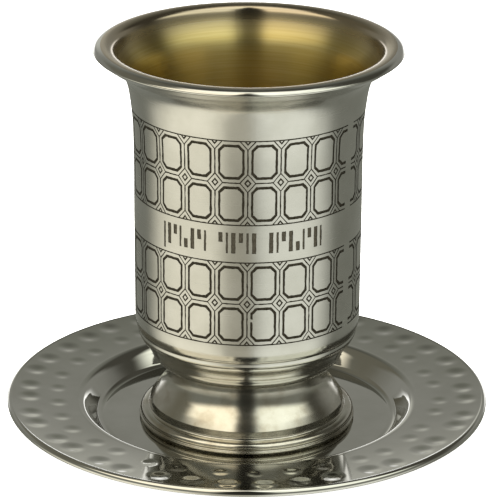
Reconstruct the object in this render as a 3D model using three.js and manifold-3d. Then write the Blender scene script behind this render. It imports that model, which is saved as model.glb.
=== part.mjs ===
// A kiddush cup on its saucer, in millimetres, +Z up.
// The cup is a straight satin beaker with a flared lip, standing on a spun pedestal foot. Bowl and
// foot are two shells, joined where the foot's top disc meets the flat under the bowl. The saucer
// is one pressed sheet with a flat well, a hammered rim and an edge that is turned down.

import * as THREE from 'three';
import { mergeVertices } from 'three/addons/utils/BufferGeometryUtils.js';
import Module from 'manifold-3d';

const wasm = await Module();
wasm.setup();

// ---------------------------------------------------------------- driving dimensions
const CUP_HEIGHT = 90.9;          // from the saucer's well floor to the crest of the lip
const BEAKER_RADIUS = 26.2;       // outside of the straight wall
const LIP_RADIUS = 35.45;         // outside of the flared lip
const LIP_CREST = 32.6;           // radius of the lip's highest ring, from which it falls both ways
const WALL = 0.9;                 // sheet of the bowl and of the foot
const JOINT_HEIGHT = 14.75;       // flat under the bowl, where the foot's top disc meets it
const NECK_RADIUS = 18.2;         // narrowest place of the foot
const FLARE_RADIUS = 22.5;        // edge of the foot's bell
const FOOT_RADIUS = 25.4;         // lowest ring of the foot
const FLARE_HEIGHT = 4.9;         // height of the bell's edge

const SAUCER_RADIUS = 56.2;       // outside of the turned edge
const WELL_RADIUS = 39.5;         // where the rim rolls over into the well
const FLOOR_RADIUS = 35.2;        // flat floor of the well
const RIM_RISE = 4.6;             // top of the rim above the well floor, at the well
const EDGE_RISE = 5.75;           // top of the rim above the well floor, at the outside
const SHEET = 0.75;               // saucer sheet
const EDGE_DROP = 1.5;            // height of the turned-down edge

const CELLS = 21;                 // whole octagon cells round the beaker
const CELL_ANGLE = 16.118;        // degrees that one cell takes up
const FIRST_DIVIDER = 69.8;       // degrees from the front to the first whole cell, to the right
const STRIP_ANGLE = 3.7;          // degrees left plain between two panels
const END_FACETS = 3;             // facets over the plain part between the last cell and the first
const BANDS = [27.9, 56.7];       // lower edge of each two-row band
const CELL_HEIGHT = 9.95;         // height of one octagon cell
const PANEL_WIDTH = 5.5;          // sunk panel in each cell, between its long sides
const PANEL_HEIGHT = 7.9;
const PANEL_CHAMFER = [1.1, 1.2]; // cut corner of a panel, across and up
const PANEL_DEPTH = 0.2;

const DENTS = 40;                 // hammered dents in a ring on the saucer's rim
const DENT_RING = 51.4;           // radius of that ring
const DENT_WIDTH = 5;
const DENT_DEPTH = 0.34;
const DENT_WANDER = [1.4, 0.5];   // how far a blow lands off its even place, in degrees and in mm
const BLOW_RHYTHM = [2.9, 4.7];   // radians a blow, which spread those errors unevenly in the ring

const FOOT_FACETS = 30;
const DENT_SIDES = 6;

// ---------------------------------------------------------------- materials
const satinSteel = new THREE.MeshStandardMaterial({
  name: 'satin_steel', color: '#b9b6aa', metalness: 1, roughness: 0.32,
});
const polishedSteel = new THREE.MeshStandardMaterial({
  name: 'polished_steel', color: '#b4ad9b', metalness: 1, roughness: 0.12,
});
const mirrorSteel = new THREE.MeshStandardMaterial({
  name: 'mirror_steel', color: '#a3a39c', metalness: 1, roughness: 0.06,
});

// ---------------------------------------------------------------- outlines
const point = (radius, height) => new THREE.Vector2(radius, height);

// A circular arc in the outline's plane, given by its centre, radius and end angles in degrees.
function arc(radius, height, bend, fromAngle, toAngle, steps) {
  return Array.from({ length: steps + 1 }, (_, i) => {
    const angle = THREE.MathUtils.degToRad(fromAngle + ((toAngle - fromAngle) * i) / steps);
    return point(radius + bend * Math.cos(angle), height + bend * Math.sin(angle));
  });
}

// A smooth curve through a few places, resampled in equal steps.
function sweep(places, steps) {
  return new THREE.SplineCurve(places.map(([r, h]) => point(r, h))).getPoints(steps);
}

// Points of a curve, moved sideways by the sheet's thickness. The side is that of the left hand
// when the curve is walked from its first point to its last.
function offset(points, distance) {
  return points.map((here, i) => {
    const before = points[Math.max(i - 1, 0)];
    const after = points[Math.min(i + 1, points.length - 1)];
    const along = after.clone().sub(before).normalize();
    return point(here.x - along.y * distance, here.y + along.x * distance);
  });
}

// ---------------------------------------------------------------- solids
// Spins an outline round the axis and stands it on Z. The outline starts on the axis, runs out
// along the underside, up the outside and back to the axis along the upper or inner side. Its
// heights are over the well floor, so the whole of it is lifted by the saucer's sheet. The first
// facet starts at the front, towards -Y, and the next ones follow to the right.
function spin(outline, segments) {
  return new THREE.LatheGeometry(outline, segments).rotateX(Math.PI / 2).translate(0, 0, SHEET);
}

function toSolid(geometry) {
  const bare = geometry.clone();
  bare.deleteAttribute('normal');
  bare.deleteAttribute('uv');
  const merged = mergeVertices(bare, 1e-4);
  const mesh = new wasm.Mesh({
    numProp: 3,
    vertProperties: new Float32Array(merged.attributes.position.array),
    triVerts: new Uint32Array(merged.index.array),
  });
  mesh.merge();
  return new wasm.Manifold(mesh);
}

function toGeometry(solid) {
  const mesh = solid.getMesh();
  const geometry = new THREE.BufferGeometry();
  geometry.setAttribute('position', new THREE.BufferAttribute(mesh.vertProperties, 3));
  geometry.setIndex(new THREE.BufferAttribute(mesh.triVerts, 1));
  geometry.computeVertexNormals();
  return geometry;
}

function cutAll(geometry, cutters) {
  const solids = cutters.map(toSolid);
  const tools = wasm.Manifold.union(solids);
  return toGeometry(toSolid(geometry).subtract(tools));
}

// ---------------------------------------------------------------- bowl
// The wall widens very slightly upwards, then turns out into the lip. There the sheet's edge is
// rolled over into a thick hem with a broad rounded top.
const FLARE = [
  [BEAKER_RADIUS + 0.4, 75.0],
  [BEAKER_RADIUS + 0.75, 78.4],
  [BEAKER_RADIUS + 1.4, 81.9],
  [BEAKER_RADIUS + 2.9, 84.9],
];
const HEM_UNDERSIDE = [
  [BEAKER_RADIUS + 5.4, 87.1],
  [LIP_RADIUS - 0.65, CUP_HEIGHT - 1.7],
];
const HEM = [
  point(LIP_RADIUS, CUP_HEIGHT - 1.1), point(LIP_RADIUS - 0.35, CUP_HEIGHT - 0.7),
  point(LIP_CREST, CUP_HEIGHT), point(LIP_CREST - 1.2, CUP_HEIGHT - 0.2),
  point(LIP_CREST - 2.1, CUP_HEIGHT - 1),
];

function wallRadius(height) {
  return BEAKER_RADIUS + 0.0042 * (height - 50);
}

function bowlOutline() {
  const stepRoll = [
    point(20.2, JOINT_HEIGHT), point(21.3, 15.4), point(22.2, 16.4), point(22.5, 17.7),
  ];
  const knop = [point(22.9, 18), point(24.15, 19.8), point(25.1, 21.3), point(25.45, 22.5)];
  const groove = [point(25.15, 22.8), point(25.7, 23.2)];
  const shoulder = [point(25.95, 24.2), point(wallRadius(26.6), 26.6)];
  const flare = sweep([...FLARE, ...HEM_UNDERSIDE], 4);
  const insideFlare = offset(sweep(FLARE, 2), WALL).reverse();
  const insideBottom = [
    point(wallRadius(27) - WALL, 27), point(23.7, 20.8), point(19.4, JOINT_HEIGHT + WALL),
  ];
  return [
    point(0, JOINT_HEIGHT), ...stepRoll, ...knop, ...groove, ...shoulder, ...flare, ...HEM,
    ...insideFlare, ...insideBottom, point(0, JOINT_HEIGHT + WALL),
  ];
}

// Where the edge between two facets stands, in degrees from the front to the right. Each cell has a
// wide facet, which holds its panels, and a narrow strip follows it. The last edges share out the
// plain part, where the pattern neither ends nor starts with a whole cell.
function facetEdge(step) {
  if (step < 2 * CELLS) {
    const margin = step % 2 === 0 ? STRIP_ANGLE / 2 : CELL_ANGLE - STRIP_ANGLE / 2;
    return FIRST_DIVIDER + Math.floor(step / 2) * CELL_ANGLE + margin;
  }
  const endFacet = (360 - CELLS * CELL_ANGLE + STRIP_ANGLE) / END_FACETS;
  return facetEdge(2 * CELLS - 1) + (step - 2 * CELLS + 1) * endFacet;
}

// Moves the evenly spread edges of a turned body to the places that the pattern asks for.
function alignFacets(geometry, segments) {
  const place = geometry.attributes.position;
  for (let i = 0; i < place.count; i += 1) {
    const radius = Math.hypot(place.getX(i), place.getY(i));
    const angle = Math.atan2(place.getX(i), -place.getY(i)) + 2 * Math.PI;
    const step = Math.round((angle * segments) / (2 * Math.PI)) % segments;
    const turned = THREE.MathUtils.degToRad(facetEdge(step));
    place.setXY(i, radius * Math.sin(turned), -radius * Math.cos(turned));
  }
  return geometry;
}

// An upright octagon with long sides, sunk square into the wall at one cell.
function panelCutter(angle, height) {
  const x = PANEL_WIDTH / 2;
  const y = PANEL_HEIGHT / 2;
  const [across, up] = PANEL_CHAMFER;
  const octagon = new THREE.Shape([
    point(x - across, -y), point(x, up - y), point(x, y - up), point(x - across, y),
    point(across - x, y), point(-x, y - up), point(-x, up - y), point(across - x, -y),
  ]);
  const halfFacet = THREE.MathUtils.degToRad((CELL_ANGLE - STRIP_ANGLE) / 2);
  const floor = wallRadius(height) * Math.cos(halfFacet) - PANEL_DEPTH;
  return new THREE.ExtrudeGeometry(octagon, { depth: WALL, bevelEnabled: false })
    .rotateX(Math.PI / 2)
    .translate(0, -floor, height + SHEET)
    .rotateZ(THREE.MathUtils.degToRad(angle));
}

function makeBowl() {
  const segments = 2 * CELLS + END_FACETS - 1;
  const body = alignFacets(spin(bowlOutline(), segments), segments);
  const cutters = [];
  for (const band of BANDS) {
    for (const row of [0.5, 1.5]) {
      for (let cell = 0; cell < CELLS; cell += 1) {
        const angle = FIRST_DIVIDER + (cell + 0.5) * CELL_ANGLE;
        cutters.push(panelCutter(angle, band + row * CELL_HEIGHT));
      }
    }
  }
  return cutAll(body, cutters);
}

// ---------------------------------------------------------------- foot
// A bell on a stepped base, open below and closed above by the disc that carries the bowl.
function makeFoot() {
  const discUnderside = JOINT_HEIGHT - WALL;
  const hollow = [
    point(NECK_RADIUS - WALL, discUnderside), point(NECK_RADIUS - WALL, 11),
    point(NECK_RADIUS + 0.3, 8.2), point(FLARE_RADIUS - 1.4, 5.2),
  ];
  const baseInside = [point(FLARE_RADIUS - 0.9, 3.6), point(FLARE_RADIUS + 1.1, 2.2)];
  const baseRing = [
    point(FOOT_RADIUS - 1.5, 0), point(FOOT_RADIUS - 0.3, 0), point(FOOT_RADIUS, 0.35),
    point(FOOT_RADIUS, 0.9), point(FOOT_RADIUS - 0.45, 1.25),
  ];
  const bead = arc(FLARE_RADIUS + 1.1, 2.3, 1.5, -20, 85, 3);
  const cove = [point(FLARE_RADIUS + 0.35, 3.85), point(FLARE_RADIUS - 0.1, 4.4)];
  const bell = sweep([
    [FLARE_RADIUS, FLARE_HEIGHT], [FLARE_RADIUS - 0.65, 5.95], [NECK_RADIUS + 2.2, 7.8],
    [NECK_RADIUS + 0.55, 9.9], [NECK_RADIUS + 0.05, 11.8], [NECK_RADIUS, JOINT_HEIGHT],
  ], 5);
  const outline = [
    point(0, discUnderside), ...hollow, ...baseInside, ...baseRing, ...bead, ...cove, ...bell,
    point(0, JOINT_HEIGHT),
  ];
  return spin(outline, FOOT_FACETS);
}

// ---------------------------------------------------------------- saucer
// The upper side from the well's floor to the turned edge.
const RIM_START = point(WELL_RADIUS + 0.5, RIM_RISE);
const RIM_MIDDLE = point(48, 5.1);
const RIM_END = point(SAUCER_RADIUS - 0.7, EDGE_RISE);

function upperSide(steps) {
  const well = sweep([
    [FLOOR_RADIUS - 1.6, 0], [FLOOR_RADIUS, 0.4], [FLOOR_RADIUS + 1.7, RIM_RISE * 0.5],
    [WELL_RADIUS - 1.2, RIM_RISE - 0.45], [RIM_START.x, RIM_START.y],
  ], steps);
  return [...well, RIM_MIDDLE, RIM_END];
}

function rimHeight(radius) {
  const [from, to] = radius < RIM_MIDDLE.x ? [RIM_START, RIM_MIDDLE] : [RIM_MIDDLE, RIM_END];
  return THREE.MathUtils.mapLinear(radius, from.x, to.x, from.y, to.y);
}

// A blunt many-sided point pressed into the rim, square to it, near the middle of one facet.
function dentCutter(index) {
  const profile = [
    point(0, -DENT_DEPTH), point(DENT_WIDTH / 2, 0), point(DENT_WIDTH / 2, SHEET), point(0, SHEET),
  ];
  const [aside, outwards] = DENT_WANDER;
  const angle = (360 * (index + 0.5)) / DENTS + aside * Math.sin(index * BLOW_RHYTHM[0]);
  const radius = DENT_RING + outwards * Math.cos(index * BLOW_RHYTHM[1]);
  const slope = Math.atan2(rimHeight(radius + 1) - rimHeight(radius - 1), 2);
  return new THREE.LatheGeometry(profile, DENT_SIDES)
    .rotateX(Math.PI / 2)
    .rotateX(slope)
    .translate(0, -radius, rimHeight(radius) + SHEET)
    .rotateZ(THREE.MathUtils.degToRad(angle));
}

function makeSaucer() {
  const underside = offset(upperSide(3), -SHEET).slice(0, -1);
  const edge = [
    point(SAUCER_RADIUS - SHEET, EDGE_RISE - SHEET - 0.1),
    point(SAUCER_RADIUS - SHEET, EDGE_RISE - EDGE_DROP),
    point(SAUCER_RADIUS, EDGE_RISE - EDGE_DROP),
    point(SAUCER_RADIUS, EDGE_RISE - 0.5),
  ];
  const outline = [
    point(0, -SHEET), ...underside, ...edge, ...upperSide(5).reverse(), point(0, 0),
  ];
  const cutters = Array.from({ length: DENTS }, (_, index) => dentCutter(index));
  return cutAll(spin(outline, DENTS), cutters);
}

// ---------------------------------------------------------------- the object
const kiddushCup = new THREE.Group();
for (const [name, geometry, material] of [
  ['bowl', makeBowl(), satinSteel],
  ['foot', makeFoot(), polishedSteel],
  ['saucer', makeSaucer(), mirrorSteel],
]) {
  const mesh = new THREE.Mesh(geometry, material);
  mesh.name = name;
  kiddushCup.add(mesh);
}

export default kiddushCup;
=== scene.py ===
"""Looks of the kiddush cup on its saucer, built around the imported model.

Lengths inside the making functions are millimetres; meshes are written in metres. Heights are
counted from the saucer's well floor, on which the cup stands, and LIFT raises them to the frame.
"""
import math

import bpy
import numpy as np
from mathutils import Matrix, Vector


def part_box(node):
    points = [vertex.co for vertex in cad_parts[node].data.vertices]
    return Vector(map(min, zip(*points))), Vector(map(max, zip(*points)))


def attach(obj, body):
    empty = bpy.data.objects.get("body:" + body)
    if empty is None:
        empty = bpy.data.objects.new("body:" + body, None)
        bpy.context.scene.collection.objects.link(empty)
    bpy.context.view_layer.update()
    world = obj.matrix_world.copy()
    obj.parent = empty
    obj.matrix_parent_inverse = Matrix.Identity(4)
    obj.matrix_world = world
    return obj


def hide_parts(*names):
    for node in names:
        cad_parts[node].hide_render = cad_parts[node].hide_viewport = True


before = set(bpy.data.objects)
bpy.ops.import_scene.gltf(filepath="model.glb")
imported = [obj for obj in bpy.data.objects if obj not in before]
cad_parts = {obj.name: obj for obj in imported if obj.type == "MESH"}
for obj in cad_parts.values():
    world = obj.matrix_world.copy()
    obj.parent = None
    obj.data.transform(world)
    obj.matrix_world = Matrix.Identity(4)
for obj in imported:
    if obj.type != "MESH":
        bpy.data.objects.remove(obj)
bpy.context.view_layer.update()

MM = 0.001
SHEET = 0.75                    # saucer sheet, which the cup's foot stands on
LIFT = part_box("saucer")[0][2] / MM + SHEET
DOUBLED = 1e-4                  # points nearer than this are one


# ---------------------------------------------------------------- outlines and meshes
def smooth(places, step):
    """A smooth curve through places, resampled about every step millimetres.

    Each stretch is the cubic that passes through both ends with the slopes of their neighbours
    (Catmull and Rom's rule, spaced by chord length).
    """
    p = np.array(places, float)
    if len(p) == 2:
        count = max(1, int(math.ceil(np.linalg.norm(p[1] - p[0]) / step)))
        return p[0] + (p[1] - p[0]) * np.linspace(0, 1, count + 1)[:, None]
    chord = np.r_[0, np.cumsum(np.linalg.norm(np.diff(p, axis=0), axis=1))]
    slope = np.empty_like(p)
    before, after = np.diff(chord)[:-1, None], np.diff(chord)[1:, None]
    left, right = np.diff(p, axis=0)[:-1] / before, np.diff(p, axis=0)[1:] / after
    slope[1:-1] = (left * after + right * before) / (before + after)
    slope[0] = 2 * (p[1] - p[0]) / before[0] - slope[1]
    slope[-1] = 2 * (p[-1] - p[-2]) / after[-1] - slope[-2]
    count = max(1, int(math.ceil(chord[-1] / step)))
    at = np.linspace(0, chord[-1], count + 1)
    i = np.clip(np.searchsorted(chord, at, side="right") - 1, 0, len(p) - 2)
    span = (chord[i + 1] - chord[i])[:, None]
    t = ((at - chord[i])[:, None]) / span
    return ((2 * t**3 - 3 * t**2 + 1) * p[i] + (t**3 - 2 * t**2 + t) * span * slope[i]
            + (3 * t**2 - 2 * t**3) * p[i + 1] + (t**3 - t**2) * span * slope[i + 1])


def bow(radius, height, bend, start, end, count):
    """Points of a circular arc: centre plus bend times the cosine and sine of each angle."""
    angle = np.radians(np.linspace(start, end, count + 1))
    return np.c_[radius + bend * np.cos(angle), height + bend * np.sin(angle)]


def joined(*stretches):
    """Stretches one after the other, without the doubled points between them."""
    line = np.vstack([np.atleast_2d(np.array(s, float)) for s in stretches])
    keep = np.r_[True, np.linalg.norm(np.diff(line, axis=0), axis=1) > DOUBLED]
    return line[keep]


def spot(radius, height, angle):
    """Places in space, in millimetres, from cylindrical ones.

    Across is radius times the sine of the angle, and towards the front is radius times its cosine.
    The angle counts in radians from the front to the right.
    """
    return np.stack([radius * np.sin(angle), -radius * np.cos(angle),
                     height + LIFT + 0 * angle], axis=-1)


def make_piece(name, points, faces, materials, face_material=None, normals=None, flat=None):
    """A mesh object at the origin.

    faces is a list of index arrays, one for each face size. flat marks the faces that are not
    shaded smooth.
    """
    mesh = bpy.data.meshes.new(name)
    sizes = np.concatenate([np.full(len(f), f.shape[1]) for f in faces])
    mesh.vertices.add(len(points))
    mesh.vertices.foreach_set("co", (points * MM).astype(np.float32).ravel())
    mesh.loops.add(int(sizes.sum()))
    mesh.loops.foreach_set("vertex_index", np.concatenate([f.ravel() for f in faces]))
    mesh.polygons.add(len(sizes))
    mesh.polygons.foreach_set("loop_start", np.r_[0, np.cumsum(sizes)[:-1]])
    for material in materials:
        mesh.materials.append(material)
    mesh.update(calc_edges=True)
    mesh.polygons.foreach_set("use_smooth", np.ones(len(sizes), bool) if flat is None else ~flat)
    if face_material is not None:
        mesh.polygons.foreach_set("material_index", face_material.astype(np.int32))
    mesh.validate()
    if normals is not None:
        mesh.normals_split_custom_set(normals)
    piece = bpy.data.objects.new(name, mesh)
    bpy.context.scene.collection.objects.link(piece)
    return piece


def spun(outline, columns, shift=None):
    """Points and faces of a turned shell: every outline point carried round in columns steps.

    A point is its outline's radius and height at an even share of the full turn. The outline runs
    from the axis out under the piece, up its outside and back to the axis, so both ends are poles.
    shift(radius, angle) may push the points up or down.
    """
    angle = np.arange(columns) * 2 * math.pi / columns
    ring = outline[1:-1]
    radius = np.repeat(ring[:, :1], columns, axis=1)
    height = np.repeat(ring[:, 1:], columns, axis=1)
    turn = np.repeat(angle[None, :], len(ring), axis=0)
    if shift is not None:
        height = height + shift(radius, turn)
    grid = spot(radius, height, turn).reshape(-1, 3)
    ends = spot(np.zeros(2), outline[[0, -1], 1], np.zeros(2))
    points = np.vstack([grid, ends])
    here = np.arange(len(ring) * columns).reshape(len(ring), columns)
    beside = np.roll(here, -1, axis=1)
    quads = np.stack([here[:-1], beside[:-1], beside[1:], here[1:]], axis=-1).reshape(-1, 4)
    low, high = len(grid), len(grid) + 1
    first = np.stack([beside[0], here[0], np.full(columns, low)], axis=-1)
    last = np.stack([here[-1], beside[-1], np.full(columns, high)], axis=-1)
    return points, [quads, np.vstack([first, last])]


# ---------------------------------------------------------------- the bowl's pattern
ROUND = 26.2                    # radius on which widths in the pattern are counted
GIRTH = 2 * math.pi * ROUND
CELL = math.radians(16.118) * ROUND     # width of one octagon cell
ROW = 9.95                      # and its height
CELLS = 21                      # whole cells; a half cell stands at either end of the pattern
BANDS = (27.9, 56.7)            # lower edge of each band of two rows
ROWS = (0.5, 1.5)               # middles of those rows, in rows over that edge
BAND = 2 * ROW
FIRST_DIVIDER = math.radians(69.8)      # start of the first whole cell, from the front
NODE = (1.75, 2.10)             # half width and half height of the diamond between cells
LINE = 0.15                     # half width of the thin upright and level lines
SLANT_LINE = 0.125              # half width of those that slant round a diamond
ETCH = 0.12                     # depth of the etching
RAGGED = 0.028                  # how far the acid has eaten the edge of a line unevenly
NODE_RAGGED = 0.6 * RAGGED      # and the finer edges of a diamond

# Outside of the straight wall and of the flare up to the rolled lip.
WALL_LINE = smooth([(26.1, 26.9), (26.2, 50), (26.28, 68), (26.43, 73), (26.65, 75.6), (26.9, 77.7),
                    (27.2, 79.8), (27.62, 81.9), (28.44, 84), (29.24, 85), (30.3, 86.1),
                    (31.64, 87.1), (32.9, 87.85)], 0.8)


def wall_radius(height):
    """Outside radius of the wall at a height, in proportion between its two nearest points."""
    return np.interp(height, WALL_LINE[:, 1], WALL_LINE[:, 0])


def octagon_half(width, height, chamfer_x, chamfer_y):
    """Left half of an upright octagon's outline, from the middle of its top to that of its foot.

    A point is its edge's start plus a share of the way to its end. Every edge is shared out by the
    same fractions in octagons of different sizes, so that they have matching points.
    """
    near = LINE / NODE[1]
    corner = np.array([near, (1 + near) / 2, 1])
    back = np.r_[1 - corner[1::-1], 1]
    top, side = np.arange(1, 5) / 4, np.arange(1, 9) / 8
    ends = np.array([(0, height), (chamfer_x - width, height), (-width, height - chamfer_y),
                     (-width, chamfer_y - height), (chamfer_x - width, -height), (0, -height)])
    parts = [ends[:1]]
    for start, end, share in zip(ends[:-1], ends[1:], (top, corner, side, back, top)):
        parts.append(start + (end - start) * share[:, None])
    return np.vstack(parts)


def full_ring(half):
    """An outline closed by its own mirror image, counter-clockwise."""
    return np.vstack([half, (half * (-1, 1))[-2:0:-1]])


def diamond(width, height):
    """Outline of a diamond, counter-clockwise from its right corner, twelve points.

    The first quarter runs in straight shares from the right corner to the top. Its mirror image
    makes the upper half, and that half turned over makes the lower one.
    """
    near = LINE / height
    share = np.array([0, near, (1 + near) / 2])
    quarter = np.c_[width * (1 - share), height * share]
    upper = np.vstack([quarter, [(0, height)], (quarter * (-1, 1))[:0:-1]])
    return np.vstack([upper, -upper])


def line_octagon():
    """The cell's own outline moved inwards by the half width of the lines, as octagon_half takes it.

    Along a slanted edge, height of the diamond times across plus width of the diamond times up is
    the same everywhere. Where that line meets the moved sides gives the cut corner.
    """
    reach = NODE[1] * CELL / 2 + NODE[0] * (ROW / 2 - NODE[1]) - SLANT_LINE * math.hypot(*NODE)
    width, height = CELL / 2 - LINE, ROW / 2 - LINE
    return (width, height, width - (reach - NODE[0] * height) / NODE[1],
            height - (reach - NODE[1] * width) / NODE[0])


# Outlines inside one another, each as half width and half height, and for an octagon also the
# corner cut off, across and up. The bands between them are sunk where the tuple says so.
OCTAGONS = [(CELL / 2, ROW / 2, *NODE), line_octagon(), (2.95, 4.15, 1.2, 1.3),
            (2.43, 3.5, 1.0, 1.0), (1.55, 2.35, 0.75, 0.8), (0.75, 1.2, 0.4, 0.45)]
OCTAGON_SUNK = (True, False, True, False, False)
DIAMONDS = [NODE, (1.587, 1.905), (0.85, 1.05), (0.42, 0.5), (0.12, 0.2)]
DIAMOND_SUNK = (True, False, True, False)
EVEN_FROM = 4                   # outlines from the fifth inwards touch no etching, and stay even
THICK_LINE = 2                  # the band that is a cell's thick line
BREAK_CELL, BREAK_AT = 18, 9    # cell of the lowest row, and face, where that line is broken

TOP, SUNK, PLAIN, GILT, WALLS, STROKE = range(6)      # kinds of face


class Patches:
    """Collects flat patches of the bowl's skin: points, faces and what each face is."""

    def __init__(self):
        self.points, self.quads, self.triangles = [], [], []
        self.quad_kind, self.triangle_kind = [], []
        self.count = 0

    def add(self, points, quads, quad_kind, triangles=None, triangle_kind=None):
        """points is (copies, n, 3); faces count inside one copy and are repeated for each."""
        copies, n = points.shape[:2]
        step = self.count + n * np.arange(copies)[:, None, None]
        self.points.append(points.reshape(-1, 3))
        self.quads.append((quads[None] + step).reshape(-1, 4))
        self.quad_kind.append(np.broadcast_to(quad_kind, (copies, len(quads))).ravel())
        if triangles is not None:
            self.triangles.append((triangles[None] + step).reshape(-1, 3))
            self.triangle_kind.append(
                np.broadcast_to(triangle_kind, (copies, len(triangles))).ravel())
        self.count += copies * n


def on_wall(flat):
    """Carries points (across, up) of the unrolled pattern onto the wall.

    The height stays, and the angle is the first divider's plus across over the counting radius.
    """
    return spot(wall_radius(flat[..., 1]), flat[..., 1], FIRST_DIVIDER + flat[..., 0] / ROUND)


def nested(rings, closed):
    """Faces between rings that lie inside one another, and a fan to the middle point."""
    count, n = rings
    here = np.arange(count * n).reshape(count, n)
    beside = np.roll(here, -1, axis=1)
    if not closed:
        here, beside = here[:, :-1], beside[:, :-1]
    quads = np.stack([here[:-1], beside[:-1], beside[1:], here[1:]], axis=-1)
    fan = np.stack([here[-1], beside[-1], np.full(here.shape[1], count * n)], axis=-1)
    return quads, fan


def stirred(rings, copies, ragged, still, rng):
    """Copies of the rings with uneven edges.

    The outermost ring meets the neighbours and stays even. So do those from EVEN_FROM inwards,
    and the points that still marks.
    """
    stir = rng.normal(0, ragged, (copies, *rings.shape))
    stir[:, 0] = stir[:, EVEN_FROM:] = 0
    stir[:, :, still] = 0
    return rings + stir


def laid_out(shapes, across, height):
    """Each copy's rings and its middle point, moved to their place and carried onto the wall."""
    flat = np.concatenate([shapes.reshape(len(across), -1, 2), np.zeros((len(across), 1, 2))],
                          axis=1)
    return on_wall(flat + np.stack([across, np.full(len(across), height)], axis=-1)[:, None])


def add_cells(patches, rng):
    """The octagon cells: each is a set of octagons inside one another, filled to its middle."""
    whole = np.stack([full_ring(octagon_half(*o)) for o in OCTAGONS])
    half = whole.shape[1] // 2
    sides = {"whole": (np.arange(2 * half), np.arange(CELLS) + 0.5),
             "left": (np.arange(half + 1), np.array([CELLS + 0.5])),
             "right": (np.r_[np.arange(half, 2 * half), 0], np.array([-0.5]))}
    for side, (pick, places) in sides.items():
        rings = whole[:, pick]
        quads, fan = nested(rings.shape[:2], side == "whole")
        for band in BANDS:
            for row in ROWS:
                shapes = stirred(rings, len(places), RAGGED, (pick == 0) | (pick == half), rng)
                kind = np.where(OCTAGON_SUNK, SUNK, TOP)[:, None] + np.zeros(quads.shape[1], int)
                kind = np.broadcast_to(kind, (len(places), *kind.shape)).copy()
                if side == "whole" and band == BANDS[0] and row == ROWS[0]:
                    kind[BREAK_CELL, THICK_LINE, BREAK_AT] = TOP
                patches.add(laid_out(shapes, places * CELL, band + row * ROW),
                            quads.reshape(-1, 4), kind.reshape(len(places), -1), fan, TOP)


def add_nodes(patches, rng):
    """The diamonds where four cells meet, and the halves of them along a band's edges."""
    rings = np.stack([diamond(*d) for d in DIAMONDS])
    whole = rings.shape[1]
    half = whole // 2
    across = np.arange(CELLS + 1) * CELL
    parts = {"middle": (np.arange(whole), 1.0), "foot": (np.arange(half + 1), 0.0),
             "head": (np.r_[np.arange(half, whole), 0], 2.0)}
    for part, (pick, row) in parts.items():
        chosen = rings[:, pick]
        quads, fan = nested(chosen.shape[:2], part == "middle")
        kind = np.where(DIAMOND_SUNK, SUNK, TOP)[:, None] + np.zeros(quads.shape[1], int)
        if part != "middle":
            kind[:, [0, -1]] = SUNK
        for band in BANDS:
            still = np.isin(pick % half, (0, 1, half - 1))
            shapes = stirred(chosen, len(across), NODE_RAGGED, still, rng)
            patches.add(laid_out(shapes, across, band + row * ROW), quads.reshape(-1, 4),
                        kind.ravel(), fan, TOP if part == "middle" else SUNK)


# The plain gap between the pattern's last half cell and its first one, counted round the wall.
GAP = ((CELLS + 0.5) * CELL, GIRTH - 0.5 * CELL)
HAIR = 1e-7                     # keeps a column at nought from falling just below it
TOUCH = 1e-3


def border_columns():
    """Places round the wall of every point on a band's edge, each brought into one turn."""
    feet = np.array([d[0] for d in DIAMONDS] + [0])
    feet = np.r_[-feet, feet[-2::-1]]
    edge = octagon_half(*OCTAGONS[0])[:5, 0]
    top = np.r_[edge[3:0:-1], edge[:1], -edge[1:4]]
    dividers = np.arange(CELLS + 1) * CELL
    middles = (np.arange(CELLS) + 0.5) * CELL
    column = np.r_[(dividers[:, None] + feet).ravel(), (middles[:, None] + top).ravel(),
                   GAP[0] + edge[3:0:-1], GAP[0], sum(GAP) / 2, GAP[1], GAP[1] - edge[1:4]]
    return np.sort(np.mod(column + HAIR, GIRTH))


def add_rows(patches, places, kind):
    """Plain rows of the turned wall. places is (rows, columns, 3), and each row closes on itself."""
    rows, n = places.shape[:2]
    here = np.arange(rows * n).reshape(rows, n)
    beside = np.roll(here, -1, axis=1)
    quads = np.stack([here[:-1], beside[:-1], beside[1:], here[1:]], axis=-1).reshape(-1, 4)
    patches.add(places.reshape(1, -1, 3), quads, kind.reshape(1, -1))


# The strokes between the bands stand in three groups. They only mark the place of a line of
# writing, and are no letters: upright bars, thick or thin, long or short. A code gives each bar
# its width, foot and head in millimetres, and a group starts at so many degrees from the front.
LOWEST, FOOT, SHORT_HEAD, SHORT_FOOT, HEAD = 48.7, 50.0, 52.2, 52.6, 54.9
BARS = {"l": (0.55, LOWEST, HEAD), "i": (0.95, FOOT, HEAD), "j": (0.5, FOOT, HEAD),
        "h": (0.95, SHORT_FOOT, HEAD), "s": (0.95, FOOT, SHORT_HEAD)}
BAR_SPACE = 0.74
BAR_GROUPS = [(-45.8, "lihjsihj"), (-14.4, "hjihji"), (10.5, "ijhisjhij")]
BAR_ROWS = 9                    # heights at which a bar's edges wander
UNDER_BARS = 48.3               # height under the bars where the columns start to even out


def bars():
    """Each bar's left and right edge on the unrolled wall, its foot and its head."""
    found = []
    for start, codes in BAR_GROUPS:
        at = math.radians(start) * ROUND - FIRST_DIVIDER * ROUND + GIRTH
        for width, foot, head in (BARS[code] for code in codes):
            found.append((at, at + width, foot, head))
            at += width + BAR_SPACE
    return np.array(found)


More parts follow.
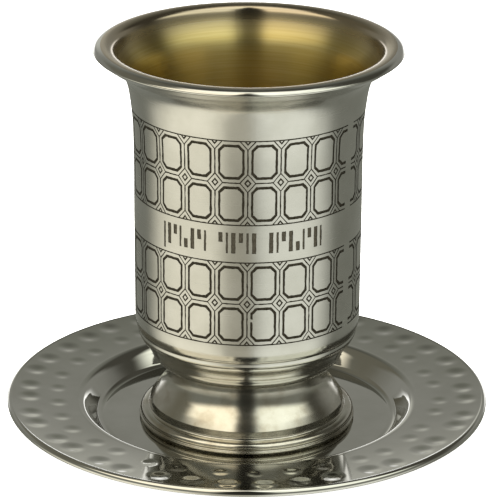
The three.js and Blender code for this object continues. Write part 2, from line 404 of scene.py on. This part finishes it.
def add_writing_band(patches, columns, edge_kind, rng):
    """The wall between the bands of cells, with the bars.

    Its columns are spread evenly round the wall, apart from those next to a bar's edges, which
    move onto them. Every point of them wanders sideways a little. The two levels at either border
    keep the columns of the cells, and the next one up lies halfway between both.
    """
    heights = np.unique(np.r_[np.linspace(LOWEST, HEAD, BAR_ROWS), FOOT, SHORT_HEAD, SHORT_FOOT])
    levels = np.r_[BANDS[0] + BAND, BANDS[0] + BAND + LINE, UNDER_BARS, heights,
                   BANDS[1] - LINE, BANDS[1]]
    kinds = np.full((len(levels) - 1, len(columns)), TOP)
    kinds[[0, -1]] = edge_kind
    step = GIRTH / len(columns)
    even = columns[0] + np.arange(len(columns)) * step
    for left, right, foot, head in bars():
        ends = np.round((np.array([left, right]) - even[0]) / step).astype(int)
        even[ends] = left, right
        tall = (levels[:-1] > foot - TOUCH) & (levels[1:] < head + TOUCH)
        kinds[tall, ends[0]:ends[1]] = STROKE
    across = np.repeat(columns[None], len(levels), axis=0)
    across[3:-2] = even + rng.normal(0, RAGGED, (len(heights), len(columns)))
    across[2] = (even + columns) / 2
    up = np.repeat(levels[:, None], len(columns), axis=1)
    add_rows(patches, on_wall(np.stack([across, up], axis=-1)), kinds)


def add_gap(patches):
    """The plain wall between the pattern's two ends, with the half cells' points on its sides."""
    levels = np.array([o[1] for o in OCTAGONS])
    levels = np.r_[-levels, 0, levels[::-1]]
    across = np.array([GAP[0], sum(GAP) / 2, GAP[1]])
    for band in BANDS:
        for row in ROWS:
            flat = np.stack(np.meshgrid(across, band + row * ROW + levels), axis=-1)
            here = np.arange(flat[..., 0].size).reshape(flat.shape[:2])
            quads = np.stack([here[:-1, :-1], here[:-1, 1:], here[1:, 1:], here[1:, :-1]], -1)
            patches.add(on_wall(flat).reshape(1, -1, 3), quads.reshape(-1, 4), TOP)


# ---------------------------------------------------------------- the bowl's turned parts
WALL = 0.9                      # sheet of the bowl
JOINT = 14.75                   # height of the flat under the bowl, soldered to the foot
INNER_FLAT = JOINT + WALL       # and of the flat inside it
HUB = 1.2                       # radius of the small disc in the middle of both flats
GILT_FROM = 33.9                # radius on the lip where the gilding starts
INNER_WALL = (27.5, 85.9)       # heights between which the inside runs along with the outside
ROLL, CREST = 34.6, 31.8        # radii outside which the lip's tight roll and flat crest lie

# The lip: the sheet's edge is rolled over into a thick hem, which falls both ways from its crest.
HEM = smooth([(33.4, 88.22), (34.2, 88.78), (34.8, 89.2), (35.15, 89.45), (35.37, 89.68),
              (35.42, 89.83), (35.33, 90.0), (35.12, 90.22), (34.82, 90.47), (34.5, 90.64),
              (34.0, 90.79), (33.4, 90.87), (32.8, 90.88), (32.2, 90.81), (31.6, 90.65),
              (31.1, 90.42), (30.74, 90.13), (30.45, 89.72), (30.2, 89.15), (29.95, 88.45),
              (29.65, 87.7), (29.15, 86.75)], 0.15)
# Its rings are closest round the tight roll, and widest apart from there to the crest.
HEM = HEM[(HEM[:, 0] > ROLL) | (np.arange(len(HEM)) % np.where(HEM[:, 0] > CREST, 4, 2) == 0)]


def under_line():
    """Outline under the lower band: flat, step roll, knop, groove and shoulder."""
    edge = BANDS[0]
    return joined(
        smooth([(HUB, JOINT), (20.0, JOINT)], 10),
        smooth([(20.0, JOINT), (20.4, 14.83), (21.0, 15.3), (21.7, 15.9), (22.2, 16.5),
                (22.37, 16.95), (22.5, 17.45), (22.72, 17.75)], 0.36),
        smooth([(22.72, 17.75), (22.95, 18.15), (23.43, 19.0), (24.15, 20.0), (24.75, 20.75),
                (25.15, 21.4), (25.36, 22.0), (25.42, 22.4), (25.3, 22.75)], 0.5),
        smooth([(25.3, 22.75), (25.32, 22.95), (25.6, 23.15)], 0.2),
        smooth([(25.6, 23.15), (25.79, 23.7), (25.97, 24.5), (26.05, 25.4), (26.1, 26.9)], 0.6),
        [(wall_radius(h), h) for h in (edge - 0.5, edge - LINE, edge)])


def over_line(gilded):
    """Outline over the upper band: flare and rolled lip, up to where the gilding starts."""
    edge = BANDS[1] + BAND
    clear = edge + 0.4
    return joined([(wall_radius(h), h) for h in (edge, edge + LINE)],
                  WALL_LINE[WALL_LINE[:, 1] > clear], HEM[:gilded + 1])


def gilt_line(gilded):
    """Outline of the gilt inside, from the lip to the middle of the bottom.

    The wall's inside is its outside moved in by the sheet, square to its slope. Its rings stand
    close in the flare, and far apart down the straight wall.
    """
    slope = np.gradient(WALL_LINE, axis=0)
    slope /= np.linalg.norm(slope, axis=1)[:, None]
    inner = WALL_LINE + WALL * np.c_[-slope[:, 1], slope[:, 0]]
    low, high = INNER_WALL
    inner = inner[(inner[:, 1] > low) & (inner[:, 1] < high)][::-1]
    in_flare = 16
    inner = inner[np.r_[0:in_flare:2, in_flare:len(inner):9]]
    return joined(HEM[gilded:], inner,
                  smooth([inner[-1], (25.1, 26.4), (24.6, 23.5), (23.4, 20.8), (21.6, 17.6),
                          (19.4, 15.75), (17.5, INNER_FLAT)], 2.2),
                  smooth([(17.5, INNER_FLAT), (HUB, INNER_FLAT)], 9))


def bowl_skin(rng):
    """The bowl's whole closed skin as welded points, faces and kinds of face.

    The turned parts are their outlines carried round at the pattern's own columns, so that they
    meet the bands of cells point for point. Their rows next to a band are its border lines, which
    are sunk except in the gap.
    """
    patches = Patches()
    add_cells(patches, rng)
    add_nodes(patches, rng)
    columns = border_columns()
    angle = FIRST_DIVIDER + columns / ROUND
    in_gap = (columns > GAP[0] - TOUCH) & (columns < GAP[1] - TOUCH)
    edge_kind = np.where(in_gap, TOP, SUNK)
    gilded = HEM[:, 0].argmax() + np.argmax(HEM[HEM[:, 0].argmax():, 0] < GILT_FROM)
    add_writing_band(patches, columns, edge_kind, rng)
    for outline, kind, lined in ((under_line(), PLAIN, -1), (over_line(gilded), PLAIN, 0),
                                 (gilt_line(gilded), GILT, None)):
        kinds = np.full((len(outline) - 1, len(columns)), kind)
        if lined is not None:
            kinds[lined, ~in_gap] = SUNK
        add_rows(patches, spot(outline[:, :1], outline[:, 1:], angle[None]), kinds)
    n = len(columns)
    pair = [np.arange(n), np.roll(np.arange(n), -1)]
    for height, order, kind in ((JOINT, pair[::-1], PLAIN), (INNER_FLAT, pair, GILT)):
        disc = np.vstack([spot(HUB, height, angle), spot(0, height, np.zeros(1))])
        fan = np.stack([*order, np.full(n, n)], axis=-1)
        patches.add(disc[None], np.zeros((0, 4), int), np.zeros((1, 0), int), fan, kind)
    add_gap(patches)
    return weld(patches)


WELD, WELD_SHIFT = 0.001, 0.00037       # step of the welding grid, and its shift off round sizes


def weld(patches):
    """Joins points that fall in one box of a fine grid."""
    points = np.vstack(patches.points)
    key = np.round((points + WELD_SHIFT) / WELD).astype(np.int64)
    _, first, index = np.unique(key, axis=0, return_index=True, return_inverse=True)
    index = index.ravel()
    faces = [index[np.vstack(patches.quads)], index[np.vstack(patches.triangles)]]
    kinds = [np.concatenate(patches.quad_kind), np.concatenate(patches.triangle_kind)]
    return points[first], faces, kinds


def engraved(points, faces, kinds, depth):
    """Sinks the faces marked SUNK or STROKE straight in, and closes their edges with upright walls.

    A sunk point's radius is made less by the depth. An edge gets a wall where only one of the two
    faces beside it is sunk.
    """
    sunk = [np.isin(kind, (SUNK, STROKE)) for kind in kinds]
    chosen = [face[low] for face, low in zip(faces, sunk)]
    edges = np.vstack([np.stack([face, np.roll(face, -1, axis=1)], axis=-1).reshape(-1, 2)
                       for face in chosen])
    code = edges[:, 0].astype(np.int64) * len(points) + edges[:, 1]
    twin = edges[:, 1].astype(np.int64) * len(points) + edges[:, 0]
    rim = edges[~np.isin(code, twin)]
    used = np.unique(edges)
    lower = np.full(len(points), -1)
    lower[used] = len(points) + np.arange(len(used))
    floor = points[used].copy()
    out = np.hypot(floor[:, 0], floor[:, 1])
    floor[:, :2] *= ((out - depth) / out)[:, None]
    new = [np.where(low[:, None], lower[face], face) for face, low in zip(faces, sunk)]
    walls = np.stack([rim[:, 0], rim[:, 1], lower[rim[:, 1]], lower[rim[:, 0]]], axis=-1)
    return (np.vstack([points, floor]), [np.vstack([new[0], walls]), new[1]],
            [np.r_[kinds[0], np.full(len(walls), WALLS)], kinds[1]])


def wall_normals(points, faces, kinds):
    """Exact normals of the turned wall for faces of the pattern, and none for the others.

    A normal points straight out, and leans down by as much as the wall's radius grows with height.
    """
    reach, tiny = 0.2, 1e-6
    height = points[:, 2] - LIFT
    out = np.hypot(points[:, 0], points[:, 1])[:, None]
    lean = (wall_radius(height + reach) - wall_radius(height - reach)) / (2 * reach)
    normal = np.hstack([points[:, :2] / np.maximum(out, tiny), -lean[:, None]])
    normal /= np.maximum(np.linalg.norm(normal, axis=1), tiny)[:, None]
    loops = []
    for face, kind in zip(faces, kinds):
        fixed = np.isin(kind, (TOP, SUNK, STROKE))
        loops.append(np.where(fixed[:, None, None], normal[face], 0).reshape(-1, 3))
    return np.vstack(loops)


# ---------------------------------------------------------------- foot and saucer
def foot_outline():
    """Closed outline of the hollow foot: inside from the axis, base, then up the outside.

    The outside is a ring, a bead, a steep cove, the bell's narrow edge and the bell, each a curve
    through a few places or an arc.
    """
    inside = smooth([(17.3, 13.85), (17.3, 11.6), (17.8, 9.7), (19.2, 7.6), (20.6, 6.1),
                     (21.1, 4.9), (21.2, 3.6), (23.0, 2.0), (23.3, 1.0), (23.4, 0.0)], 0.6)
    ring = joined([(23.4, 0), (24.25, 0)], smooth([(24.25, 0), (24.5, 0.3), (24.9, 0.47)], 0.15),
                  bow(24.98, 0.8, 0.22, -60, 95, 7))
    bead = smooth([(24.85, 1.08), (24.78, 1.3), (24.95, 1.6), (24.98, 2.0), (24.75, 2.42),
                   (24.35, 2.72), (23.9, 2.88), (23.4, 2.95)], 0.12)
    cove = smooth([bead[-1], (23.1, 3.0), (22.9, 3.15), (22.8, 3.45), (22.7, 4.0),
                   (22.6, 4.6)], 0.12)
    edge = bow(22.48, 4.87, 0.1, 10, 35, 3)
    bell = smooth([edge[-1], (22.35, 5.25), (21.95, 5.85), (21.5, 6.5), (20.95, 7.2),
                   (20.4, 7.9), (19.7, 8.75), (19.1, 9.7), (18.65, 10.7), (18.38, 11.8),
                   (18.2, 14.75)], 0.25)
    return joined([(0, 13.85), (9, 13.85)], inside, ring, bead, cove, edge, bell,
                  [(12, 14.75), (0, 14.75)])


WELL_FLOOR = [(0, 0), (12, 0), (22, 0), (27, 0), (30, 0), (33, 0)]
UPPER = joined(WELL_FLOOR, smooth([(33.6, 0), (34.5, 0.04), (35.1, 0.35), (35.6, 0.9)], 0.2),
               smooth([(35.6, 0.9), (36.9, 2.6), (37.8, 3.7), (38.5, 4.3), (39.2, 4.55),
                       (40.0, 4.62)], 0.25),
               smooth([(40.0, 4.62), (48.0, 5.1), (55.2, 5.72)], 0.36))


def saucer_outline():
    """Closed outline of the saucer: underside from the axis, turned edge, then back over the top.

    Under the rim and the well's wall, the underside is the top moved in by the sheet, square to
    its slope, with every second point. It never goes below the flat that the saucer stands on.
    """
    top = UPPER[len(WELL_FLOOR):]
    slope = np.gradient(top, axis=0)
    slope /= np.linalg.norm(slope, axis=1)[:, None]
    under = top - SHEET * np.c_[-slope[:, 1], slope[:, 0]]
    under[:, 1] = np.maximum(under[:, 1], -SHEET)
    under = joined([(0, -SHEET), (30, -SHEET)], under[::2])
    edge = joined([(54.9, under[-1, 1])], bow(55.0, 4.5, 0.4, 60, 0, 3), [(55.4, 4.4)],
                  bow(55.8, 4.65, 0.4, 180, 360, 8), bow(55.2, 4.75, 1.0, 0, 88, 10))
    return joined(under[under[:, 0] < 54.7], edge, UPPER[::-1])


# Rings of hammered dents: how many, on what radius, how wide and how deep, and by what share of
# their spacing the ring is turned.
DENT_RINGS = [(40, 51.4, 6.3, 0.19, 0.5), (34, 44.8, 5.0, 0.1, 0.2)]
WANDER = (math.radians(1.1), 0.45)      # how far a blow lands off its place, round and outwards
BLOW_RHYTHM = (2.9, 4.7)                # radians a blow, which spread those errors unevenly


def dents(radius, angle):
    """How far the rim is pressed down, in millimetres below nought.

    Each blow takes off its depth times the squared cosine of an angle, which grows from nought in
    the dent's middle to a quarter turn at its border. Only a ring's three nearest blows count.
    """
    pressed = np.zeros_like(radius)
    for count, ring, width, deep, turn in DENT_RINGS:
        number = np.arange(count)
        at = 2 * math.pi * (number + turn) / count + WANDER[0] * np.sin(number * BLOW_RHYTHM[0])
        out = ring + WANDER[1] * np.cos(number * BLOW_RHYTHM[1])
        nearest = np.floor(angle / (2 * math.pi / count) + 1 - turn).astype(int) % count
        for step in (-1, 0, 1):
            i = (nearest + step) % count
            aside = (angle - at[i] + math.pi) % (2 * math.pi) - math.pi
            away = np.hypot(radius - out[i], aside * radius) / (width / 2)
            pressed -= deep * np.cos(np.clip(away, 0, 1) * math.pi / 2) ** 2
    return pressed


# ---------------------------------------------------------------- materials
def linear(colour):
    """An sRGB hex colour as linear red, green, blue and full alpha."""
    part = np.array([int(colour[i:i + 2], 16) for i in (1, 3, 5)]) / 255
    part = np.where(part <= 0.04045, part / 12.92, ((part + 0.055) / 1.055) ** 2.4)
    return (*part.tolist(), 1.0)


def add(tree, kind, links=None, stops=(), **settings):
    """One node with its settings and links, and on a colour ramp its stops as (place, colour).

    A link is a value, or another node's output.
    """
    node = tree.nodes.new(kind)
    for name, value in settings.items():
        setattr(node, name, value)
    for name, value in (links or {}).items():
        socket = node.inputs[name]
        if isinstance(value, bpy.types.NodeSocket):
            tree.links.new(value, socket)
        else:
            socket.default_value = value
    for i, (place, colour) in enumerate(stops):
        band = node.color_ramp.elements
        element = band[i] if i < len(band) else band.new(place)
        element.position, element.color = place, linear(colour)
    return node


def new_material(name):
    material = bpy.data.materials.new(name)
    material.use_nodes = True
    material.node_tree.nodes.clear()
    return material, material.node_tree


def finish_material(tree, shader):
    add(tree, "ShaderNodeOutputMaterial", {"Surface": shader.outputs["BSDF"]})


def turning_lines(tree, pitch, wander):
    """Fine lines that run round the axis: noise squeezed along Z to the pitch in millimetres, and
    stretched across so that a line fades out after wander millimetres. Real ones are several times
    finer, and are drawn as coarse as they need to show."""
    place = add(tree, "ShaderNodeTexCoord").outputs["Object"]
    squeezed = add(tree, "ShaderNodeMapping", {"Vector": place,
                   "Scale": (1 / (wander * MM), 1 / (wander * MM), 1 / (pitch * MM))})
    noise = add(tree, "ShaderNodeTexNoise", {"Vector": squeezed.outputs["Vector"], "Scale": 1.0,
                "Detail": 3.0, "Roughness": 0.6})
    return noise.outputs["Fac"]


def cloudy(tree, size, detail=3.0):
    """Soft blotches about size millimetres across."""
    place = add(tree, "ShaderNodeTexCoord").outputs["Object"]
    noise = add(tree, "ShaderNodeTexNoise", {"Vector": place, "Scale": 1 / (size * MM),
                "Detail": detail, "Roughness": 0.55})
    return noise.outputs["Fac"]


def satin_steel():
    """Stainless steel, spun and satined round the axis with a fine pad: lights smear into upright
    bands. The rolled parts under the straight wall and the lip are buffed, and mirror sharper."""
    material, tree = new_material("satin_stainless_steel")
    lines = turning_lines(tree, 0.16, 14)
    stains = cloudy(tree, 9)
    colour = add(tree, "ShaderNodeValToRGB", {"Fac": stains},
                 [(0.35, "#bfbeb7"), (0.65, "#c9c8c2")]).outputs["Color"]
    height = add(tree, "ShaderNodeSeparateXYZ",
                 {"Vector": add(tree, "ShaderNodeTexCoord").outputs["Object"]}).outputs["Z"]
    low = add(tree, "ShaderNodeMapRange", {"Value": height, "From Min": 26.0 * MM,
              "From Max": 28.6 * MM, "To Min": 0.13, "To Max": 0.26})
    high = add(tree, "ShaderNodeMapRange", {"Value": height, "From Min": 84.5 * MM,
               "From Max": 88.0 * MM, "To Min": 0.27, "To Max": 0.12})
    polish = add(tree, "ShaderNodeMath", {0: low.outputs["Result"], 1: high.outputs["Result"]},
                 operation="MINIMUM")
    grain = add(tree, "ShaderNodeMapRange", {"Value": lines, "From Min": 0.3, "From Max": 0.7,
                "To Min": -0.015, "To Max": 0.015})
    rough = add(tree, "ShaderNodeMath", {0: polish.outputs[0], 1: grain.outputs["Result"]},
                operation="ADD")
    bump = add(tree, "ShaderNodeBump", {"Height": lines, "Strength": 0.04,
               "Distance": 0.012 * MM})
    tangent = add(tree, "ShaderNodeTangent", direction_type="RADIAL", axis="Z")
    shader = add(tree, "ShaderNodeBsdfPrincipled", {
        "Base Color": colour, "Metallic": 1.0, "Roughness": rough.outputs[0],
        "Anisotropic": 0.55, "Anisotropic Rotation": 0.25,
        "Tangent": tangent.outputs["Tangent"], "Normal": bump.outputs["Normal"]})
    finish_material(tree, shader)
    return material


def etched_steel(name, dark, light):
    """Steel eaten by the acid and left dull and a little grainy, between two shades of grey. The
    grain is drawn coarser than the real one, to show."""
    material, tree = new_material(name)
    grain = cloudy(tree, 0.35, 4.0)
    colour = add(tree, "ShaderNodeValToRGB", {"Fac": grain},
                 [(0.3, dark), (0.7, light)]).outputs["Color"]
    bump = add(tree, "ShaderNodeBump", {"Height": grain, "Strength": 0.5,
               "Distance": 0.05 * MM})
    shader = add(tree, "ShaderNodeBsdfPrincipled", {
        "Base Color": colour, "Metallic": 0.85, "Roughness": 0.5,
        "Normal": bump.outputs["Normal"]})
    finish_material(tree, shader)
    return material


def gilt_steel():
    """Thin gold plating over turned steel: yellow and satin with fine turning lines, worn to a
    smooth grey-brown where it thins out over the rolled lip."""
    material, tree = new_material("gold_plated_steel")
    lines = turning_lines(tree, 0.45, 22)
    height = add(tree, "ShaderNodeSeparateXYZ",
                 {"Vector": add(tree, "ShaderNodeTexCoord").outputs["Object"]}).outputs["Z"]
    worn = add(tree, "ShaderNodeMapRange", {"Value": height, "From Min": 85.5 * MM,
               "From Max": 90.6 * MM}).outputs["Result"]
    rough = add(tree, "ShaderNodeMapRange", {"Value": height, "From Min": 88.0 * MM,
                "From Max": 90.5 * MM, "To Min": 0.3, "To Max": 0.15})
    gold = add(tree, "ShaderNodeValToRGB", {"Fac": lines},
               [(0.3, "#c3b070"), (0.7, "#d0c086")]).outputs["Color"]
    colour = add(tree, "ShaderNodeMixRGB", {"Fac": worn, "Color1": gold,
                 "Color2": linear("#aea28c")}).outputs["Color"]
    bump = add(tree, "ShaderNodeBump", {"Height": lines, "Strength": 0.09,
               "Distance": 0.03 * MM})
    tangent = add(tree, "ShaderNodeTangent", direction_type="RADIAL", axis="Z")
    shader = add(tree, "ShaderNodeBsdfPrincipled", {
        "Base Color": colour, "Metallic": 1.0, "Roughness": rough.outputs["Result"],
        "Anisotropic": 0.85, "Anisotropic Rotation": 0.25,
        "Tangent": tangent.outputs["Tangent"], "Normal": bump.outputs["Normal"]})
    finish_material(tree, shader)
    return material


def polished_steel():
    """Buffed stainless steel of the foot: shiny but a little soft, with faint brownish stains left
    by the polishing paste."""
    material, tree = new_material("polished_stainless_steel")
    stains = cloudy(tree, 5)
    colour = add(tree, "ShaderNodeValToRGB", {"Fac": stains},
                 [(0.3, "#b2ac9e"), (0.5, "#c3c0b5"), (0.75, "#c9c7be")]).outputs["Color"]
    rough = add(tree, "ShaderNodeMapRange", {"Value": stains, "From Min": 0.3, "From Max": 0.7,
                "To Min": 0.17, "To Max": 0.12})
    shader = add(tree, "ShaderNodeBsdfPrincipled", {
        "Base Color": colour, "Metallic": 1.0, "Roughness": rough.outputs["Result"]})
    finish_material(tree, shader)
    return material


def mirror_steel():
    """Mirror-polished stainless sheet of the saucer, with the faintest haze."""
    material, tree = new_material("mirror_polished_stainless_steel")
    haze = cloudy(tree, 12)
    colour = add(tree, "ShaderNodeValToRGB", {"Fac": haze},
                 [(0.35, "#c2c1ba"), (0.65, "#cbcac4")]).outputs["Color"]
    rough = add(tree, "ShaderNodeMapRange", {"Value": haze, "From Min": 0.35, "From Max": 0.65,
                "To Min": 0.03, "To Max": 0.06})
    shader = add(tree, "ShaderNodeBsdfPrincipled", {
        "Base Color": colour, "Metallic": 1.0, "Roughness": rough.outputs["Result"]})
    finish_material(tree, shader)
    return material


# ---------------------------------------------------------------- pieces
def make_bowl():
    """The bowl in its four finishes: satin, etched, gilt, and the paler etching of the strokes."""
    points, faces, kinds = bowl_skin(np.random.default_rng(7))
    points, faces, kinds = engraved(points, faces, kinds, ETCH)
    kind = np.concatenate(kinds)
    material = np.select([(kind == SUNK) | (kind == WALLS), kind == GILT, kind == STROKE],
                         [1, 2, 3], 0)
    finishes = [satin_steel(), etched_steel("etched_stainless_steel", "#262319", "#423d32"),
                gilt_steel(), etched_steel("frosted_stainless_steel", "#413d33", "#5f5a4e")]
    return make_piece("etched_bowl", points, faces, finishes, material,
                      wall_normals(points, faces, kinds), kind == WALLS)


FOOT_COLUMNS, SAUCER_COLUMNS = 192, 640       # the saucer's keep its dents round
bowl = make_bowl()
foot = make_piece("spun_foot", *spun(foot_outline(), FOOT_COLUMNS), [polished_steel()])
saucer = make_piece("hammered_saucer", *spun(saucer_outline(), SAUCER_COLUMNS, dents),
                    [mirror_steel()])
for piece, node, slot in ((bowl, "bowl", "satin_steel"), (foot, "foot", "polished_steel"),
                          (saucer, "saucer", "mirror_steel")):
    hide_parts(node)
    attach(piece, "root")


# ---------------------------------------------------------------- stage, light and camera
def make_floor(half):
    """A square floor at the height of the saucer's underside, whose sides lie as far from its
    middle as half says, in metres. It is lit from below, so the cup throws almost no shadow."""
    corners = [(-half, -half, 0), (half, -half, 0), (half, half, 0), (-half, half, 0)]
    mesh = bpy.data.meshes.new("floor")
    mesh.from_pydata(corners, [], [(0, 1, 2, 3)])
    material, tree = new_material("backlit_white_acrylic")
    shade = cloudy(tree, 300)
    colour = add(tree, "ShaderNodeValToRGB", {"Fac": shade},
                 [(0.0, "#fbfbfb"), (1.0, "#ffffff")]).outputs["Color"]
    shader = add(tree, "ShaderNodeBsdfPrincipled", {
        "Base Color": colour, "Roughness": 0.9, "Specular IOR Level": 0.0,
        "Emission Color": colour, "Emission Strength": 0.8})
    finish_material(tree, shader)
    mesh.materials.append(material)
    floor = bpy.data.objects.new("floor", mesh)
    bpy.context.scene.collection.objects.link(floor)
    return floor


def studio(fields, base, brightness):
    """The room as the metal sees it: soft-edged fields of brightness, one laid over the other.

    A field is its middle and half width in degrees round from the front to the right, its lowest
    and highest elevation, the softness of its sides and of its ends, and its colour and strength.
    A field covers what is under it by the product of three soft steps: of the cosine of the turn
    from its middle, and of the elevation over its lower and under its upper end.
    """
    world = bpy.data.worlds.new("studio")
    world.use_nodes = True
    tree = world.node_tree
    tree.nodes.clear()
    way = add(tree, "ShaderNodeTexCoord").outputs["Generated"]
    part = add(tree, "ShaderNodeSeparateXYZ", {"Vector": way})
    flat = add(tree, "ShaderNodeCombineXYZ", {"X": part.outputs["X"], "Y": part.outputs["Y"]})
    flat = add(tree, "ShaderNodeVectorMath", {0: flat.outputs["Vector"]}, operation="NORMALIZE")
    lift = add(tree, "ShaderNodeMath", {0: part.outputs["Z"]}, operation="ARCSINE").outputs[0]
    colour = linear(base)
    for middle, half, low, high, side, end, tint, strength in fields:
        turn = math.radians(middle)
        near = add(tree, "ShaderNodeVectorMath", {0: flat.outputs["Vector"],
                   1: (math.sin(turn), -math.cos(turn), 0)}, operation="DOT_PRODUCT")
        wide, narrow = math.radians(half + side), math.radians(max(half - side, 1))
        steps = [(near.outputs["Value"], math.cos(wide), math.cos(narrow)),
                 (lift, math.radians(low - end), math.radians(low + end)),
                 (lift, math.radians(high + end), math.radians(high - end))]
        mask = 1.0
        for value, start, stop in steps:
            step = add(tree, "ShaderNodeMapRange", {"Value": value, "From Min": start,
                       "From Max": stop}, interpolation_type="SMOOTHSTEP")
            mask = add(tree, "ShaderNodeMath", {0: step.outputs["Result"], 1: mask},
                       operation="MULTIPLY").outputs[0]
        light = tuple(c * strength for c in linear(tint)[:3]) + (1.0,)
        colour = add(tree, "ShaderNodeMixRGB", {"Fac": mask, "Color1": colour,
                     "Color2": light}).outputs["Color"]
    room = add(tree, "ShaderNodeBackground", {"Color": colour, "Strength": brightness})
    add(tree, "ShaderNodeOutputWorld", {"Surface": room.outputs["Background"]})
    bpy.context.scene.world = world


FIELDS = [
    (180, 75, 38, 70, 25, 14, "#3e3e39", 1.0),       # dark wall high up behind
    (-122, 32, 6, 60, 14, 10, "#5d5b51", 1.0),       # dark room to the left
    (122, 32, 6, 60, 14, 10, "#3c3b35", 1.0),        # and to the right
    (180, 60, 4, 26, 20, 5, "#777772", 1.0),         # grey backdrop
    (-173, 6, 8, 18, 6, 5, "#a6a69f", 1.0),          # pale patch of it, to the left
    (180, 27, -9, 6, 12, 4, "#ffffff", 1.2),         # far end of the table, lit from behind
    (-62, 34, -80, -8, 28, 12, "#e3dfcf", 1.02),     # table before the cup, left
    (43, 32, -80, -8, 26, 12, "#dadbd2", 1.0),       # and right
    (-9, 8, -60, 0, 12, 12, "#a4a194", 1.0),         # shade between them
    (-51, 36, 34, 66, 7, 9, "#f4ebd5", 1.25),        # left softbox
    (55, 38, 33, 62, 9, 9, "#d6d8cc", 1.45),         # right softbox, further off
    (-62, 56, 66, 90, 18, 6, "#f8f0dc", 1.35),       # bounced light on the ceiling, left
    (60, 54, 62, 90, 18, 6, "#eceee2", 1.35),        # and right
    (180, 100, 73, 90, 30, 6, "#eeeade", 1.25),      # and behind
    (-1, 11, -14, 86, 7, 6, "#272723", 1.0),         # dark gap where the camera stands
]


def hidden_in_metal(thing):
    """Leaves the metal to mirror the painted room alone."""
    thing.visible_glossy = False


def overhead_lamp():
    """A very wide sheet of light from above and a little from the front, for the floor."""
    lamp = bpy.data.lights.new("overhead", "SUN")
    lamp.energy, lamp.angle = 5.0, math.radians(120)
    overhead = bpy.data.objects.new("overhead", lamp)
    overhead.rotation_euler = (math.radians(25), 0, 0)
    bpy.context.scene.collection.objects.link(overhead)
    return overhead


hidden_in_metal(make_floor(1.6))
hidden_in_metal(overhead_lamp())
studio(FIELDS, "#696a63", 1.75)

# A long lens, some 0.7 m before the cup and looking down on it, and not held quite level.
EYE = (0.00054, -0.7014, 0.3069)
LOOKING_DOWN, TILTED = math.radians(20.705), math.radians(0.389)
camera = bpy.data.objects.new("camera", bpy.data.cameras.new("camera"))
camera.data.sensor_width = 36.0
camera.data.lens = 233.3
camera.matrix_world = (Matrix.Translation(EYE)
                       @ Matrix.Rotation(math.pi / 2 - LOOKING_DOWN, 4, "X")
                       @ Matrix.Rotation(TILTED, 4, "Z"))
bpy.context.scene.collection.objects.link(camera)
bpy.context.scene.camera = camera
bpy.context.scene.view_settings.view_transform = "Standard"
